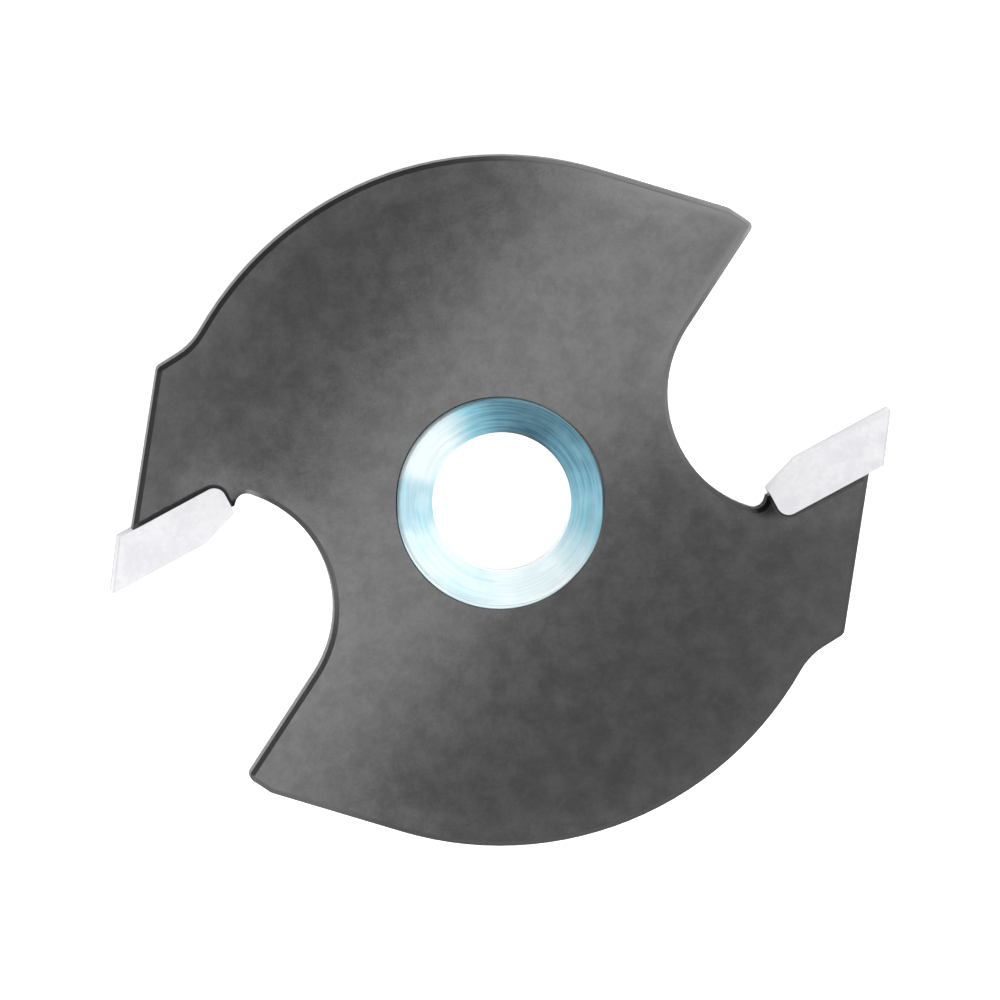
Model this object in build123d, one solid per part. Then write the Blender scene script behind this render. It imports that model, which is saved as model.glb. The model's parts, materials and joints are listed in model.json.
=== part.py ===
"""Two-wing slotting cutter: a steel body with a turned hub and two brazed carbide tips.

Millimetres. The bore axis is Z, the cutter lies on the plane Z = 0, and one cutting corner is on +X.
Seen from above it turns counter-clockwise, so each gullet lies ahead of its tip.
Angles in the plane are in degrees, counter-clockwise from +X.
"""

import os
from math import atan2, cos, degrees, radians, sin, sqrt, tan

from build123d import *

# The circle that the tips cut, the width of the slot, and the bore
cutting_diameter = 47.6
kerf_width = 4.0
bore_diameter = 8.0

# Steel plate, set in from the sides of the slot and from the circle that the tips cut, so that only they rub
face_set_in = 0.5
body_set_in = 3.25
plate_edge_break = 0.28

# Turned hub ring, as thick as the slot is wide, on which the cutter clamps and lies
hub_diameter = 12.3
hub_thickness = kerf_width
hub_edge_chamfer = 0.1
hub_root_radius = 0.1
bore_edge_chamfer = 0.1

# Carbide tip: its hook and relief, its size, and the clearance ground on both side faces
hook_angle = 15.0
relief_angle = 20.0
tip_thickness = 2.75
tip_length = 8.7
rake_face_length = 6.3
inner_slope_angle = 18.0
radial_clearance_angle = 1.0
tangential_clearance_angle = 2.0

# Braze layer between the tip and its seat, and the bead that it leaves on each face of the plate
braze_gap = 0.12
bead_width = 0.2
bead_height = 0.2
bead_land = 0.03
seat_corner_radius = 0.85

# Steel spur that closes the seat at its inner end: its top, its short flank and the round foot of the flank
spur_drop = 1.14
spur_land = 0.08
spur_flank_angle = 240.0
spur_flank_length = 0.264
spur_foot_radius = 0.65

# Shoulder behind the tip, set in from the circle that the tips cut, and heel, set in from the body's circle
shoulder_angle = 68.0
shoulder_set_in = 2.38
heel_angle = 18.6
heel_set_in = 2.99
heel_corner_radius = 0.45
heel_fillet_radius = 4.0

# Gullet ahead of the tip: a round floor from the foot of the spur to a straight edge, which passes the axis
gullet_radius = 7.15
gullet_edge_angle = 43.6
gullet_edge_offset = 3.64

# Nose where the gullet's edge meets the straight back of the wing
back_angle = 150.0
nose_bevel_on_gullet = 0.5
nose_bevel_on_back = 1.75
nose_front_radius = 0.4
nose_back_radius = 0.8

# Worked out from the sizes above
cutting_radius = cutting_diameter / 2
body_radius = cutting_radius - body_set_in
mid_height = kerf_width / 2
plate_bottom = face_set_in
plate_top = kerf_width - face_set_in
hub_bottom = mid_height - hub_thickness / 2
hub_top = mid_height + hub_thickness / 2
corner_reach = cutting_radius * cos(radians(hook_angle))
rake_distance = cutting_radius * sin(radians(hook_angle))
tip_back_distance = rake_distance + tip_thickness
tip_end_reach = corner_reach - tip_length
seat_distance = tip_back_distance + braze_gap
seat_wall_reach = tip_end_reach - braze_gap
spur_distance = rake_distance + spur_drop
shoulder_distance = cutting_radius - shoulder_set_in
heel_distance = body_radius - heel_set_in
tip_corner_radius = seat_corner_radius - braze_gap


def unit(angle):
    """The vector of length one at an angle."""
    return Vector(cos(radians(angle)), sin(radians(angle)))


def right_of(angle):
    """The vector of length one at a right angle to an angle, on its right."""
    return unit(angle - 90)


def rake_point(reach, distance):
    """The point that lies reach out along the hook direction and distance behind the axis."""
    return unit(hook_angle) * reach + right_of(hook_angle) * distance


def edge_line(angle, distance):
    """A straight edge with the steel on its left, as a point and a direction.

    The point is the one nearest to the axis, which lies distance to the left of the edge."""
    return right_of(angle) * distance, unit(angle)


def crossing(first, second):
    """The point where two straight edges cross."""
    start, along = first
    other_start, other_along = second
    gap = other_start - start
    turn = along.X * other_along.Y - along.Y * other_along.X
    return start + along * ((gap.X * other_along.Y - gap.Y * other_along.X) / turn)


def circle_crossing(line, centre, radius):
    """The point where a straight edge, followed onwards, leaves a circle."""
    start, along = line
    to_start = start - centre
    middle = -to_start.dot(along)
    half_chord = sqrt(middle**2 - to_start.dot(to_start) + radius**2)
    return start + along * (middle + half_chord)


def arc_between(centre, radius, start, end, clockwise):
    """The arc about a centre from one point to another."""
    first = degrees(atan2(start.Y - centre.Y, start.X - centre.X))
    last = degrees(atan2(end.Y - centre.Y, end.X - centre.X))
    sweep = (last - first) % 360
    if clockwise:
        sweep -= 360
    return CenterArc(centre, radius, first, sweep)


def round_corner(outline, point, radius):
    """The outline with its corner nearest to a point rounded."""
    corner = outline.vertices().sort_by_distance(point)[0]
    return fillet(corner, radius)


def prism(outline, bottom, top):
    """A flat outline made solid between two heights."""
    return extrude(Pos(0, 0, bottom) * outline, top - bottom)


def both_wings(shape):
    """A shape and the same shape half a turn on."""
    return [shape, Rot(0, 0, 180) * shape]


# Corners and tangent points of one wing, counter-clockwise from its shoulder
shoulder = edge_line(shoulder_angle, shoulder_distance)
spur_top = rake_point(seat_wall_reach - spur_land, spur_distance)
shoulder_end = crossing(shoulder, (spur_top, unit(hook_angle)))
flank_end = spur_top + unit(spur_flank_angle) * spur_flank_length
foot_centre = flank_end + right_of(spur_flank_angle) * spur_foot_radius

gullet_edge = edge_line(gullet_edge_angle, gullet_edge_offset)
gullet_centre_line = edge_line(gullet_edge_angle, gullet_edge_offset + gullet_radius)
gullet_centre = circle_crossing(gullet_centre_line, foot_centre, gullet_radius - spur_foot_radius)
foot_end = gullet_centre + (foot_centre - gullet_centre).normalized() * gullet_radius
gullet_floor_end = gullet_centre - right_of(gullet_edge_angle) * gullet_radius

back_edge = edge_line(back_angle, body_radius)
nose = crossing(gullet_edge, back_edge)
nose_front = nose - unit(gullet_edge_angle) * nose_bevel_on_gullet
nose_back = nose + unit(back_angle) * nose_bevel_on_back
back_end = back_edge[0]

axis = Vector(0, 0)
heel = edge_line(heel_angle, heel_distance)
heel_root = circle_crossing(heel, axis, body_radius)
heel_corner = crossing(heel, shoulder)


def blank_outline():
    """Outline of the plate before its seats are milled, round corners included."""
    wing = [
        Line(shoulder_end, spur_top),
        Line(spur_top, flank_end),
        arc_between(foot_centre, spur_foot_radius, flank_end, foot_end, clockwise=True),
        arc_between(gullet_centre, gullet_radius, foot_end, gullet_floor_end, clockwise=True),
        Line(gullet_floor_end, nose_front),
        Line(nose_front, nose_back),
        Line(nose_back, back_end),
        arc_between(axis, body_radius, back_end, -heel_root, clockwise=False),
        Line(-heel_root, -heel_corner),
        Line(-heel_corner, -shoulder_end),
    ]
    outline = make_face([edge for part in wing for edge in both_wings(part)])
    corners = [
        (nose_front, nose_front_radius),
        (nose_back, nose_back_radius),
        (heel_root, heel_fillet_radius),
        (heel_corner, heel_corner_radius),
    ]
    for point, radius in corners:
        for corner in (point, -point):
            outline = round_corner(outline, corner, radius)
    return outline


def plate_blank():
    """The plate before its seats are milled, with its edges broken."""
    plate = prism(blank_outline(), plate_bottom, plate_top)
    rims = plate.edges().group_by(Axis.Z)
    return chamfer(rims[0] + rims[-1], plate_edge_break)


def seat_outline():
    """Outline of the milled seat, open towards the gullet and past the shoulder."""
    overrun = tip_thickness
    corner = rake_point(seat_wall_reach, seat_distance)
    outline = make_face(
        Polyline(
            corner,
            rake_point(corner_reach + overrun, seat_distance),
            rake_point(corner_reach + overrun, rake_distance - overrun),
            rake_point(seat_wall_reach, rake_distance - overrun),
            close=True,
        )
    )
    return round_corner(outline, corner, seat_corner_radius)


def tip_outline():
    """Side view of the tip: rake face, sloped inner part, round inner corner, back and clearance face."""
    cutting_corner = rake_point(corner_reach, rake_distance)
    back = (rake_point(0, tip_back_distance), unit(hook_angle))
    slope_fall = (tip_length - rake_face_length) * tan(radians(inner_slope_angle))
    inner_corner = rake_point(tip_end_reach, tip_back_distance)
    outline = make_face(
        Polyline(
            cutting_corner,
            rake_point(corner_reach - rake_face_length, rake_distance),
            rake_point(tip_end_reach, rake_distance + slope_fall),
            inner_corner,
            crossing(back, (cutting_corner, unit(270 - relief_angle))),
            close=True,
        )
    )
    return round_corner(outline, inner_corner, tip_corner_radius)


def carbide_tip():
    """The tip, as wide as the slot at its cutting corner and ground narrower inwards and backwards."""
    tip = prism(tip_outline(), 0, kerf_width)
    cutting_corner = rake_point(corner_reach, rake_distance)
    slope = unit(hook_angle) * -tan(radians(radial_clearance_angle))
    slope += right_of(hook_angle) * tan(radians(tangential_clearance_angle))
    for height, side in ((kerf_width, 1), (0, -1)):
        ground_face = Plane(
            origin=cutting_corner + Vector(0, 0, height),
            z_dir=slope + Vector(0, 0, side),
        )
        tip = split(tip, bisect_by=ground_face, keep=Keep.BOTTOM)
    return tip


def braze_seam():
    """The solder between the tip and its seat, with a sloped bead on each flat face of the plate.

    The solder is cleaned off flush with the plate's broken edges."""
    tip = tip_outline()
    blank = plate_blank()
    seam = blank & prism(seat_outline() - tip, plate_bottom, plate_top)
    flat_faces = blank.faces().sort_by(Axis.Z)
    wide = offset(tip, braze_gap + bead_width)
    narrow = offset(tip, bead_land)
    for flat, face_height, side in ((flat_faces[-1], plate_top, 1), (flat_faces[0], plate_bottom, -1)):
        crest = face_height + side * bead_height
        bead = loft([Pos(0, 0, face_height) * wide, Pos(0, 0, crest) * narrow])
        seam += bead & extrude(flat, bead_height) - prism(tip, hub_bottom, hub_top)
    return seam


def ring_edges(solid, heights):
    """The round edge nearest to the axis at each of some heights."""
    edges = []
    for height in heights:
        level = solid.edges().filter_by_position(Axis.Z, height, height)
        edges.append(level.sort_by_distance((0, 0, height))[0])
    return edges


def cutter_body():
    """The broken plate with the turned hub through it, the bore and the two seats."""
    hub = Pos(0, 0, mid_height) * Cylinder(hub_diameter / 2, hub_thickness)
    hub = chamfer(hub.edges().filter_by(GeomType.CIRCLE), hub_edge_chamfer)
    body = plate_blank() + hub
    body = fillet(ring_edges(body, (plate_bottom, plate_top)), hub_root_radius)

    body -= Pos(0, 0, mid_height) * Cylinder(bore_diameter / 2, hub_thickness)
    body = chamfer(ring_edges(body, (hub_bottom, hub_top)), bore_edge_chamfer)

    for seat in both_wings(prism(seat_outline(), hub_bottom, hub_top)):
        body -= seat
    return body


nodes = {"cutter_body": cutter_body()}
for number, tip in enumerate(both_wings(carbide_tip()), start=1):
    nodes[f"carbide_tip_{number}"] = tip
for number, seam in enumerate(both_wings(braze_seam()), start=1):
    nodes[f"braze_seam_{number}"] = seam

os.makedirs("parts", exist_ok=True)
for name, shape in nodes.items():
    export_step(shape, f"parts/{name}.step")
    print(name, round(shape.volume, 3), "mm3")
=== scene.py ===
# %% [markdown]
# # A two-wing slotting cutter
#
# The cutter is a flat steel plate with a turned hub, a bore, and a carbide tip brazed to each wing. It
# lies on its hub, and the camera looks down on it. The CAD model already has the true shape of every
# piece, so most of the work here is finish: what each surface was last cut, ground or heated by, and how
# that shows in the light. One kind of piece, the braze, gets a mesh of its own, because molten metal sets
# in a hollow, uneven surface that flat CAD faces cannot give.
#
# Everything is in metres and in the CAD model's frame: the bore axis is Z, the hub stands on Z = 0, and
# one cutting corner is on +X. Left and right in the names below mean the two wings, as the picture shows
# them.

import json
from collections import namedtuple
from math import cos, degrees, pi, radians, sin, tan

import bpy
import numpy as np
from mathutils import Matrix, Quaternion, Vector


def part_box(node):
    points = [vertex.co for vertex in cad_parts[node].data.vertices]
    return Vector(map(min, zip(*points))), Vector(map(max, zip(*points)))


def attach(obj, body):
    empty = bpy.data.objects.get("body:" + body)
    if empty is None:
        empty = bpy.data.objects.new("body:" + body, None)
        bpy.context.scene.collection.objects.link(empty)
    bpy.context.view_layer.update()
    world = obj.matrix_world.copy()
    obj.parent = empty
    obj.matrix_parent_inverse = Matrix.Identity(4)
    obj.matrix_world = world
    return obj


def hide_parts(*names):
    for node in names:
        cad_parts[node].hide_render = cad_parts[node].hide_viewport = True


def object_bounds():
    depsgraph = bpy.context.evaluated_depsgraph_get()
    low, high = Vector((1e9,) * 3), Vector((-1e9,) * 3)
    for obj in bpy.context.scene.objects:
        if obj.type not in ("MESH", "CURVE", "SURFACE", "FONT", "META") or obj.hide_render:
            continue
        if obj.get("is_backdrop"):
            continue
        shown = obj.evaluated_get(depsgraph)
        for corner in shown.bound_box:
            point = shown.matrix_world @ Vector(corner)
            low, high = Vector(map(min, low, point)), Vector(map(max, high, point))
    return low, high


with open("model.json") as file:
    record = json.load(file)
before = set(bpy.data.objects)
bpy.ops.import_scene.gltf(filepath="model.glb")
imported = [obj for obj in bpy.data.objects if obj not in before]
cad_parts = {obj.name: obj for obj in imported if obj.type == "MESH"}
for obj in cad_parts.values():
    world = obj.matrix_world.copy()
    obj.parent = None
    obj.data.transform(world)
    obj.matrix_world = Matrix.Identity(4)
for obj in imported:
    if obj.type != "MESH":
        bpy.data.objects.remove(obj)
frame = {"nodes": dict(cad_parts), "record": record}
cad_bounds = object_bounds()
print("pieces:", sorted(frame["nodes"]))

# %% [markdown]
# ## Sizes that the looks depend on
#
# A finish has to stop exactly where its surface stops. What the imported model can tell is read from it:
# the bore's radius is in its record, and the cutting circle and the cutter's height are in a tip's box.
# The other sizes are the few that no box tells, such as the plate's top and the angles that the tips are
# ground to.

# %% Measure the cutter
mm = 0.001
mounts = {mount["name"]: mount for mount in frame["record"]["mounts"]}
_, tip_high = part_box("carbide_tip_1")

bore_radius = mounts["arbor_bore"]["dims"]["r_mm"] * mm
cutting_radius = tip_high.x
cutter_height = tip_high.z
mid_height = cutter_height / 2
plate_top = 3.5 * mm
plate_bottom = cutter_height - plate_top
plate_edge_break = 0.28 * mm
hook_angle = radians(15.0)
relief_angle = radians(20.0)
print(f"cutting radius {cutting_radius / mm:.2f} mm, bore radius {bore_radius / mm:.2f} mm")
print(f"height {cutter_height / mm:.2f} mm, plate from {plate_bottom / mm:.2f} to {plate_top / mm:.2f} mm")

# %% [markdown]
# ## The camera
#
# The photograph was taken from far off through a long lens: the walls of the plate show as a sliver of
# the same width all along the left and the top, and none at the right or the bottom. So the camera stands
# a few degrees off the axis, towards the upper left. A camera that looks straight down is turned in the
# picture's plane first, and then leant over by the shortest turn, which keeps the plate from looking
# twisted.

# %% Place the camera
view_width = 59.5 * mm
lens_length = 1000.0
sensor_width = 36.0
picture_turn = radians(13.295)
camera_lean = radians(4.5)
lean_direction = radians(135.0) - picture_turn

towards_camera = Vector(
    (
        sin(camera_lean) * cos(lean_direction),
        sin(camera_lean) * sin(lean_direction),
        cos(camera_lean),
    )
)
camera_distance = view_width * lens_length / sensor_width
straight_down = Quaternion((0, 0, 1), -picture_turn)
lean_over = Vector((0, 0, 1)).rotation_difference(towards_camera)

camera_data = bpy.data.cameras.new("camera")
camera_data.lens = lens_length
camera_data.sensor_width = sensor_width
camera_data.clip_start = 0.1
camera_data.clip_end = 10.0
camera = bpy.data.objects.new("camera", camera_data)
camera.rotation_mode = "QUATERNION"
camera.rotation_quaternion = lean_over @ straight_down
camera.location = Vector((0, 0, mid_height)) + towards_camera * camera_distance
bpy.context.scene.collection.objects.link(camera)
bpy.context.scene.camera = camera
print(f"camera {camera_distance:.3f} m away, {degrees(camera_lean):.1f} degrees off the axis")

# %% [markdown]
# ## Short names for wiring nodes
#
# Every finish below is a small graph of shader nodes. Written out in full, each node takes five or six
# lines, and the idea drowns. One helper adds a node and fills its inputs, and a few more give the sums,
# fades and blends that the finishes use all the time.
#
# Most of them deal in masks: numbers that are 1 on one part of a surface and 0 on the rest. Two masks
# make a third, as sets do. Their product is 1 where both are, and the larger of the two is 1 where either
# is.

# %% Helpers for shader nodes
def place(tree, kind, inputs=None, **settings):
    """Add a node, set its properties, and give each input a value or another node's output."""
    node = tree.nodes.new(kind)
    for key, value in settings.items():
        setattr(node, key, value)
    for key, value in (inputs or {}).items():
        if isinstance(value, bpy.types.NodeSocket):
            tree.links.new(value, node.inputs[key])
        else:
            node.inputs[key].default_value = value
    return node


def work_out(tree, operation, first, second=0.0, third=0.0):
    """One sum on numbers, such as ADD, MULTIPLY or ABSOLUTE."""
    inputs = {0: first, 1: second, 2: third}
    return place(tree, "ShaderNodeMath", inputs, operation=operation).outputs[0]


def vector_sum(tree, operation, first, second=(0.0, 0.0, 0.0)):
    """One sum on vectors whose result is a vector, such as SUBTRACT or NORMALIZE."""
    inputs = {0: first, 1: second}
    return place(tree, "ShaderNodeVectorMath", inputs, operation=operation).outputs[0]


def scaled(tree, vector, factor):
    """A vector or a colour times a number."""
    return place(tree, "ShaderNodeVectorMath", {0: vector, 3: factor}, operation="SCALE").outputs[0]


def measure(tree, operation, first, second=(0.0, 0.0, 0.0)):
    """One sum on vectors whose result is a number, such as LENGTH or DISTANCE."""
    inputs = {0: first, 1: second}
    return place(tree, "ShaderNodeVectorMath", inputs, operation=operation).outputs["Value"]


def along(tree, vector, direction):
    """How far a point lies along a direction: the sum of the products of their parts."""
    return measure(tree, "DOT_PRODUCT", vector, direction)


def fade(tree, value, start, end, low=0.0, high=1.0):
    """A value that goes smoothly from low, where the input is start, to high, where it is end."""
    inputs = {"Value": value, "From Min": start, "From Max": end, "To Min": low, "To Max": high}
    node = place(tree, "ShaderNodeMapRange", inputs, interpolation_type="SMOOTHSTEP")
    return node.outputs["Result"]


def both(tree, first, second):
    """A mask that is 1 where two masks are: their product."""
    return work_out(tree, "MULTIPLY", first, second)


def either(tree, first, second):
    """A mask that is 1 where one mask or the other is: the larger of the two."""
    return work_out(tree, "MAXIMUM", first, second)


def opposite(tree, mask):
    """A mask that is 1 where another is 0."""
    return work_out(tree, "SUBTRACT", 1.0, mask)


def blend(tree, amount, first, second):
    """A colour that is first where amount is 0, and second where it is 1."""
    inputs = {0: amount, 6: first, 7: second}
    return place(tree, "ShaderNodeMix", inputs, data_type="RGBA").outputs[2]


def mix(tree, amount, first, second):
    """A number that is first where amount is 0, and second where it is 1."""
    inputs = {0: amount, 2: first, 3: second}
    return place(tree, "ShaderNodeMix", inputs, data_type="FLOAT").outputs[0]


def clouds(tree, vector, size, detail=2.0):
    """Noise from 0 to 1 whose blotches are about one size across, in metres."""
    inputs = {"Vector": vector, "Scale": 1.0 / size, "Detail": detail}
    return place(tree, "ShaderNodeTexNoise", inputs).outputs["Fac"]


def grey(level, warmth=0.0):
    """A near-neutral colour, a little warmer or cooler than grey."""
    return (level * (1 + warmth), level, level * (1 - warmth), 1.0)


def new_material(name):
    """An empty material with its output node, as the material and its node tree."""
    material = bpy.data.materials.new(name)
    material.use_nodes = True
    material.node_tree.nodes.clear()
    return material, material.node_tree


def finish_surface(tree, inputs, relief, depth):
    """Wire a Principled BSDF to the output. Relief is a height in units of depth, which is in metres."""
    bump = place(tree, "ShaderNodeBump", {"Strength": 1.0, "Distance": depth, "Height": relief})
    shader = place(tree, "ShaderNodeBsdfPrincipled", {**inputs, "Normal": bump.outputs["Normal"]})
    place(tree, "ShaderNodeOutputMaterial", {"Surface": shader.outputs[0]})


print("helpers ready")

# %% [markdown]
# ## The floor
#
# The cutter lies on a sheet of white card. The picture shows the card as plain white right up to the
# cutter, with only a trace of shade, so what the camera sees of it is mostly light of its own. What the
# cutter's walls reflect is nearer to the card as it really is: bright in the open, and dim close by,
# where the cutter shades it.

# %% Lay the floor
floor_size = 4.0
card_glow, card_glow_in_picture = 0.45, 0.85
darker_card, paler_card = grey(0.86), grey(0.92)
fibre_size, fibre_depth = 0.8 * mm, 0.01 * mm

corners = np.array([[-1, -1, 0], [1, -1, 0], [1, 1, 0], [-1, 1, 0]]) * floor_size / 2
floor_mesh = bpy.data.meshes.new("floor")
floor_mesh.from_pydata(corners.tolist(), [], [[0, 1, 2, 3]])
floor = bpy.data.objects.new("floor", floor_mesh)
bpy.context.scene.collection.objects.link(floor)
floor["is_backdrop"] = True

white_card, tree = new_material("white_card")
position = place(tree, "ShaderNodeTexCoord").outputs["Object"]
fibres = clouds(tree, position, fibre_size, detail=4.0)
seen_by_camera = place(tree, "ShaderNodeLightPath").outputs["Is Camera Ray"]
finish_surface(
    tree,
    {
        "Base Color": blend(tree, fibres, darker_card, paler_card),
        "Roughness": 0.7,
        "Emission Color": blend(tree, seen_by_camera, grey(card_glow), grey(card_glow_in_picture)),
        "Emission Strength": 1.0,
    },
    relief=fibres,
    depth=fibre_depth,
)
floor_mesh.materials.append(white_card)
print(f"floor {floor_size} m wide")

# %% [markdown]
# ## The room
#
# Bright metal shows little but what it reflects, so the room matters more than the lamps. It is built in
# two parts, in the picture's terms. Overhead it is bright towards the bottom of the picture and dim
# towards the top. That lights the lower part of the hub, and leaves a dark arc at its top. Low down, all
# round the horizon, it is bright except towards the upper left, and that is what darkens the walls and
# the broken edges there. The camera itself sees plain white in place of the room.

# %% Paint the room
overhead_dim, overhead_bright = 0.20, 1.5
horizon_dim, horizon_bright = 0.18, 1.0


def picture_direction(angle):
    """The level direction at an angle in the picture, which counts from its right towards its top."""
    turned = radians(angle) - picture_turn
    return Vector((cos(turned), sin(turned), 0.0))


room = bpy.data.worlds.new("room")
room.use_nodes = True
room.node_tree.nodes.clear()
bpy.context.scene.world = room
tree = room.node_tree

direction = place(tree, "ShaderNodeTexCoord").outputs["Generated"]
bearing = vector_sum(tree, "NORMALIZE", vector_sum(tree, "MULTIPLY", direction, (1.0, 1.0, 0.0)))
towards_top = along(tree, direction, picture_direction(110))
overhead = fade(tree, towards_top, -0.75, 0.55, overhead_bright, overhead_dim)
towards_upper_left = along(tree, bearing, picture_direction(133))
horizon = fade(tree, towards_upper_left, 0.45, 0.90, horizon_bright, horizon_dim)
height = place(tree, "ShaderNodeSeparateXYZ", {0: direction}).outputs[2]
room_level = mix(tree, fade(tree, height, 0.35, 0.75), horizon, overhead)
seen_by_camera = place(tree, "ShaderNodeLightPath").outputs["Is Camera Ray"]
lit = place(tree, "ShaderNodeBackground", {"Color": grey(1.0), "Strength": room_level}).outputs[0]
plain = place(tree, "ShaderNodeBackground", {"Color": grey(1.0), "Strength": 1.0}).outputs[0]
seen = place(tree, "ShaderNodeMixShader", {0: seen_by_camera, 1: lit, 2: plain}).outputs[0]
place(tree, "ShaderNodeOutputWorld", {"Surface": seen})
bpy.context.scene.view_settings.view_transform = "Standard"
print("room:", len(tree.nodes), "nodes")

# %% [markdown]
# ## The lamps
#
# A narrow soft light hangs close over the cutter, along the diagonal from lower left to upper right. The
# dull plate reflects it as one broad band with soft edges, which is the main thing that shows the plate
# to be flat, satin metal. Three smaller ones at the same height make the two wings and the right nose a
# little brighter than the band does. A large soft light lower down the picture fills the rest.

# %% Hang the lamps
def soft_light(name, place_at, aim_at, length, width, long_side, radiance):
    """A flat lamp, its long side along a direction. Its power is pi times its area times its radiance."""
    data = bpy.data.lights.new(name, "AREA")
    data.shape = "RECTANGLE"
    data.size = length
    data.size_y = width
    data.energy = pi * length * width * radiance
    lamp = bpy.data.objects.new(name, data)
    facing = (place_at - aim_at).normalized()
    across = facing.cross(long_side).normalized()
    turn = Matrix([across.cross(facing), across, facing]).transposed()
    lamp.matrix_world = Matrix.Translation(place_at) @ turn.to_4x4()
    lamp.visible_camera = False
    bpy.context.scene.collection.objects.link(lamp)


lamp_height = 36 * mm
band_angle = 52.0
band_offset = 0.4 * mm
# Three small lights: direction in the picture in degrees, distance from the axis, and radiance.
left_wing_light = (178, 23 * mm, 0.75)
right_wing_light = (-5, 27.5 * mm, 0.50)
right_nose_light = (46, 18.5 * mm, 0.22)
key_reach = 0.45
key_height = 0.5

lamp_level = Vector((0, 0, plate_top + lamp_height))
beside_axis = picture_direction(band_angle + 90) * band_offset
soft_light(
    "band_light",
    lamp_level + beside_axis,
    beside_axis,
    length=160 * mm,
    width=13.0 * mm,
    long_side=picture_direction(band_angle),
    radiance=1.95,
)
edge_lights = [left_wing_light, right_wing_light, right_nose_light]
for number, (angle, reach, radiance) in enumerate(edge_lights, start=1):
    soft_light(
        f"edge_light_{number}",
        lamp_level + picture_direction(angle) * reach,
        picture_direction(angle) * reach,
        length=30 * mm,
        width=12 * mm,
        long_side=picture_direction(80),
        radiance=radiance,
    )
soft_light(
    "key_light",
    picture_direction(250) * key_reach + Vector((0, 0, key_height)),
    Vector((0, 0, 0)),
    length=0.5,
    width=0.35,
    long_side=picture_direction(340),
    radiance=2.0,
)

# %% [markdown]
# ## The braze beads
#
# Each tip is held in its seat by silver solder. The solder fills the thin gap behind the tip, and where
# it comes out on each face of the plate it climbs the tip and sets as a small hollow bead, like water
# against glass. The bead runs along the tip's back, round its inner corner and up to the steel spur.
#
# A bead could be a bevelled curve, but its section is not round and it is cut off square by the plate's
# edges. So it is a profile carried along the tip's outline. Along the outline the section swells and
# shrinks a little, as solder does, and at both ends it follows the broken edge of the plate downwards.
#
# The outline is laid out as the tip was ground: reach is measured outwards along the tip, and distance
# behind the axis, at a right angle to it.

# %% Lay out the seam
tip_back_distance = 8.910 * mm
tip_end_reach = 14.289 * mm
tip_corner_radius = 0.73 * mm
spur_distance = 7.300 * mm
spur_land = 0.08 * mm
shoulder_angle = radians(68.0)
shoulder_distance = 21.42 * mm
braze_gap = 0.12 * mm
bead_width = 0.28 * mm
bead_height = 0.19 * mm

corner_centre_reach = tip_end_reach + tip_corner_radius
corner_centre_distance = tip_back_distance - tip_corner_radius
shoulder_lean = hook_angle + pi / 2 - shoulder_angle


def past_shoulder(reach, distance):
    """How far a point lies beyond the shoulder: reach cos(lean) + distance sin(lean) less a size."""
    return reach * cos(shoulder_lean) + distance * sin(shoulder_lean) - shoulder_distance


def past_flank(reach, distance):
    """How far a point lies beyond the spur's flank, which falls from the spur's top at 45 degrees."""
    flank_reach = tip_end_reach - braze_gap - spur_land
    return (flank_reach - reach + spur_distance - distance) * cos(pi / 4)


def shoulder_reach(distance):
    """How far out the shoulder's edge cuts the line at one distance."""
    return (shoulder_distance - distance * sin(shoulder_lean)) / cos(shoulder_lean)


back_length = shoulder_reach(tip_back_distance) - corner_centre_reach
corner_length = tip_corner_radius * pi / 2
end_length = corner_centre_distance - spur_distance
seam_length = back_length + corner_length + end_length
print(f"seam {seam_length / mm:.2f} mm long, {back_length / mm:.2f} mm of it along the tip's back")

# %% [markdown]
# The profile is one closed loop in two measures: width, outwards from the tip's wall, and height. Its two
# hollow sides are each crest (1 - u)^2 above the plate, where u goes from 0 at the tip's wall to 1 at the
# toe. Between them it follows the straight sides of the gap. Sums of a few sines make the width and the
# crest uneven along the seam. Towards the spur, where less solder flowed, the bead is narrower.

# %% Carry the profile along the seam
rings_along = 281
hollow_steps = 14
wall_steps = 7
toe_waves, toe_share = 12, 0.10
crest_waves, crest_share = 9, 0.08
spur_narrowing, narrows_near_spur = 0.38, 0.5 * mm
inner_narrowing, narrows_from, narrows_over = 0.25, 0.55, 0.25
smooth_up_to = radians(40)


def slow_waves(length, waves, seed):
    """Values near -1 to 1 along a length: half the sum of sines with random phases.

    Each sine is as strong as 1 over its number to the power 0.7, so slow waves are the strongest."""
    phases = np.random.default_rng(seed).uniform(0, 2 * pi, waves)
    numbers = np.arange(1, waves + 1)
    total = np.sin(length[:, None] * numbers * 2 * pi + phases) / numbers**0.7
    return total.sum(axis=1) / 2


def seam_points(run, width):
    """Reach and distance of points a run along the tip's outline and a width outwards from it.

    Along the back the point is at distance + width. Round the corner it turns about the corner's centre,
    through an angle of run over radius. Along the inner end it is at reach - width, and its distance falls
    with the run."""
    back_run = run / back_length
    outer = shoulder_reach(tip_back_distance + width)
    on_back = (outer + (corner_centre_reach - outer) * back_run, tip_back_distance + width)
    angle = (run - back_length) / tip_corner_radius
    radius = tip_corner_radius + width
    on_corner = (
        corner_centre_reach - radius * np.sin(angle),
        corner_centre_distance + radius * np.cos(angle),
    )
    on_end = (tip_end_reach - width, corner_centre_distance - (run - back_length - corner_length))
    places = [run < back_length, run < back_length + corner_length]
    reach = np.select(places, [on_back[0], on_corner[0]], on_end[0])
    distance = np.select(places, [on_back[1], on_corner[1]], on_end[1])
    return reach, distance


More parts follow.
